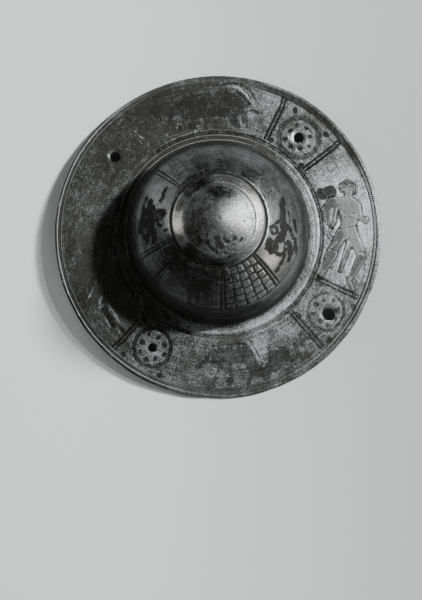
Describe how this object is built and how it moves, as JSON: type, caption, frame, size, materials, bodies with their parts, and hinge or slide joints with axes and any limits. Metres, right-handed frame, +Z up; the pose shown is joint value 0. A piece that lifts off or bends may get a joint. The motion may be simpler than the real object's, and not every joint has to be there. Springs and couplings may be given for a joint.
{
  "type": "shield boss",
  "caption": "Round domed metal shield boss with a broad bent flange, empty rivet holes, engraved rings, lattice panels and worn tinned figures.",
  "frame": {"origin": "on the dome's axis, at the level of the ground that the low edges of the flange lie on", "axes": "+Z up out of the dome's crown, +X along the crest of the bent flange towards the panel with the best-kept figure"},
  "size_m": [0.2, 0.202, 0.0708],
  "materials": {
    "tinned_brass": "worn tinning over dark patina, satin"
  },
  "bodies": {
    "root": {"shield_boss": "tinned_brass"}
  },
  "joints": []
}
